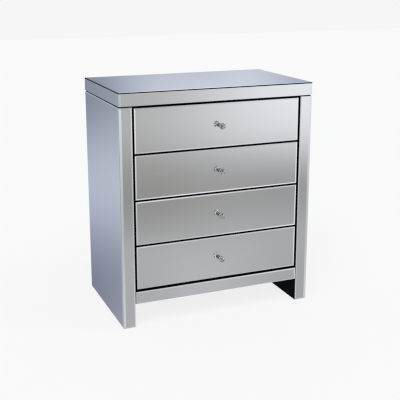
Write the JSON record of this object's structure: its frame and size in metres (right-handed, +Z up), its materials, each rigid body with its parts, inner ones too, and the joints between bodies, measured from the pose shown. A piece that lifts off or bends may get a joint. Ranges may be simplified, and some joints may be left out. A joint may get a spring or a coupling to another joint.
{
  "type": "chest of drawers",
  "caption": "Mirrored chest of drawers with a slab top, slab sides, bevelled mirror fronts on ball runners and faceted crystal knobs.",
  "frame": {"origin": "on the floor, under the middle of the chest's box with the knobs included", "axes": "+X to the right as seen from the front, +Y to the back, +Z up; the drawers face -Y"},
  "size_m": [0.8, 0.516, 0.92],
  "materials": {
    "mirror_glass": "polished",
    "painted_board": "matt black paint on fibreboard",
    "drawer_board": "black foil on board",
    "glide_plastic": "moulded",
    "runner_steel": "zinc plated",
    "cage_steel": "zinc plated",
    "knob_metal": "polished",
    "crystal": "cut and polished"
  },
  "bodies": {
    "carcass": {"top_mirror": "mirror_glass", "top_front_mirror": "mirror_glass", "top_left_mirror": "mirror_glass", "top_right_mirror": "mirror_glass", "left_side_mirror": "mirror_glass", "right_side_mirror": "mirror_glass", "left_leg_mirror": "mirror_glass", "right_leg_mirror": "mirror_glass", "bottom_rail_mirror": "mirror_glass", "left_side_panel": "painted_board", "right_side_panel": "painted_board", "top_panel": "painted_board", "top_stretchers": "painted_board", "bottom_rail": "painted_board", "bottom_panel": "painted_board", "back_panel": "painted_board", "foot_glides": "glide_plastic", "left_cabinet_runners": "runner_steel", "right_cabinet_runners": "runner_steel"},
    "drawer_1": {"drawer_1_front": "painted_board", "drawer_1_mirror": "mirror_glass", "drawer_1_side_walls": "drawer_board", "drawer_1_back_wall": "drawer_board", "drawer_1_bottom": "drawer_board", "drawer_1_sliders": "runner_steel", "drawer_1_knob_base": "knob_metal", "drawer_1_knob": "crystal", "drawer_1_knob_screw": "knob_metal"},
    "drawer_1_cages": {"drawer_1_ball_cages": "cage_steel"},
    "drawer_2": {"drawer_2_front": "painted_board", "drawer_2_mirror": "mirror_glass", "drawer_2_side_walls": "drawer_board", "drawer_2_back_wall": "drawer_board", "drawer_2_bottom": "drawer_board", "drawer_2_sliders": "runner_steel", "drawer_2_knob_base": "knob_metal", "drawer_2_knob": "crystal", "drawer_2_knob_screw": "knob_metal"},
    "drawer_2_cages": {"drawer_2_ball_cages": "cage_steel"},
    "drawer_3": {"drawer_3_front": "painted_board", "drawer_3_mirror": "mirror_glass", "drawer_3_side_walls": "drawer_board", "drawer_3_back_wall": "drawer_board", "drawer_3_bottom": "drawer_board", "drawer_3_sliders": "runner_steel", "drawer_3_knob_base": "knob_metal", "drawer_3_knob": "crystal", "drawer_3_knob_screw": "knob_metal"},
    "drawer_3_cages": {"drawer_3_ball_cages": "cage_steel"},
    "drawer_4": {"drawer_4_front": "painted_board", "drawer_4_mirror": "mirror_glass", "drawer_4_side_walls": "drawer_board", "drawer_4_back_wall": "drawer_board", "drawer_4_bottom": "drawer_board", "drawer_4_sliders": "runner_steel", "drawer_4_knob_base": "knob_metal", "drawer_4_knob": "crystal", "drawer_4_knob_screw": "knob_metal"},
    "drawer_4_cages": {"drawer_4_ball_cages": "cage_steel"}
  },
  "joints": [
    {"name": "drawer_1_slide", "type": "slide", "parent": "carcass", "child": "drawer_1", "axis": [0, -1, 0], "range_m": [0, 0.3]},
    {"name": "drawer_1_cage_slide", "type": "slide", "parent": "carcass", "child": "drawer_1_cages", "axis": [0, -1, 0], "range_m": [0, 0.15]},
    {"name": "drawer_2_slide", "type": "slide", "parent": "carcass", "child": "drawer_2", "axis": [0, -1, 0], "range_m": [0, 0.3]},
    {"name": "drawer_2_cage_slide", "type": "slide", "parent": "carcass", "child": "drawer_2_cages", "axis": [0, -1, 0], "range_m": [0, 0.15]},
    {"name": "drawer_3_slide", "type": "slide", "parent": "carcass", "child": "drawer_3", "axis": [0, -1, 0], "range_m": [0, 0.3]},
    {"name": "drawer_3_cage_slide", "type": "slide", "parent": "carcass", "child": "drawer_3_cages", "axis": [0, -1, 0], "range_m": [0, 0.15]},
    {"name": "drawer_4_slide", "type": "slide", "parent": "carcass", "child": "drawer_4", "axis": [0, -1, 0], "range_m": [0, 0.3]},
    {"name": "drawer_4_cage_slide", "type": "slide", "parent": "carcass", "child": "drawer_4_cages", "axis": [0, -1, 0], "range_m": [0, 0.15]}
  ],
  "couplings": [
    {"joint": "drawer_1_cage_slide", "follows": "drawer_1_slide", "ratio": 0.5},
    {"joint": "drawer_2_cage_slide", "follows": "drawer_2_slide", "ratio": 0.5},
    {"joint": "drawer_3_cage_slide", "follows": "drawer_3_slide", "ratio": 0.5},
    {"joint": "drawer_4_cage_slide", "follows": "drawer_4_slide", "ratio": 0.5}
  ]
}
